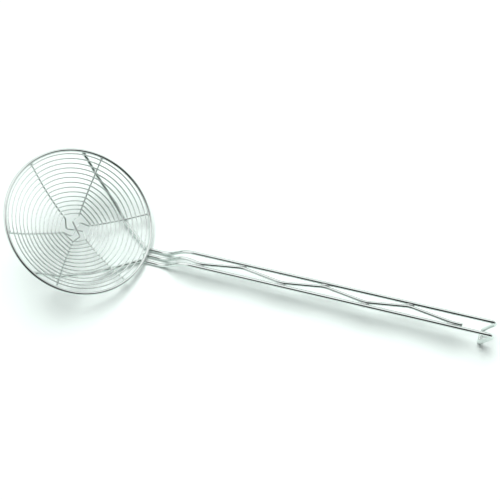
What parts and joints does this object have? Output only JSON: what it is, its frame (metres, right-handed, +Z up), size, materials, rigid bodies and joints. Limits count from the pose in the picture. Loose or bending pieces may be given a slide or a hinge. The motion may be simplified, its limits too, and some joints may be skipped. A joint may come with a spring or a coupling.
{
  "type": "wire skimmer",
  "caption": "Shallow round basket of spiral wire on spokes, tipped on a long double-rod handle with a zig-zag brace and a hanging hook; lifts and drains food from hot liquid.",
  "frame": {"origin": "under the middle of the part's outline, on the table that it lies on", "axes": "+X along the handle from the basket to the hook, +Y to the left of the handle seen from above, +Z up, out of the basket's mouth"},
  "size_m": [0.505, 0.1602, 0.0859],
  "materials": {
    "heavy_wire": "bright plated drawn wire",
    "fine_wire": "bright plated drawn wire, a little duller than the rods"
  },
  "bodies": {
    "root": {"rim_ring": "heavy_wire", "spoke_wire_low": "fine_wire", "spoke_wire_middle": "fine_wire", "spoke_wire_top": "fine_wire", "spiral_web_wire": "fine_wire", "handle_hairpin_rod": "heavy_wire", "handle_brace_wire": "heavy_wire"}
  },
  "joints": []
}
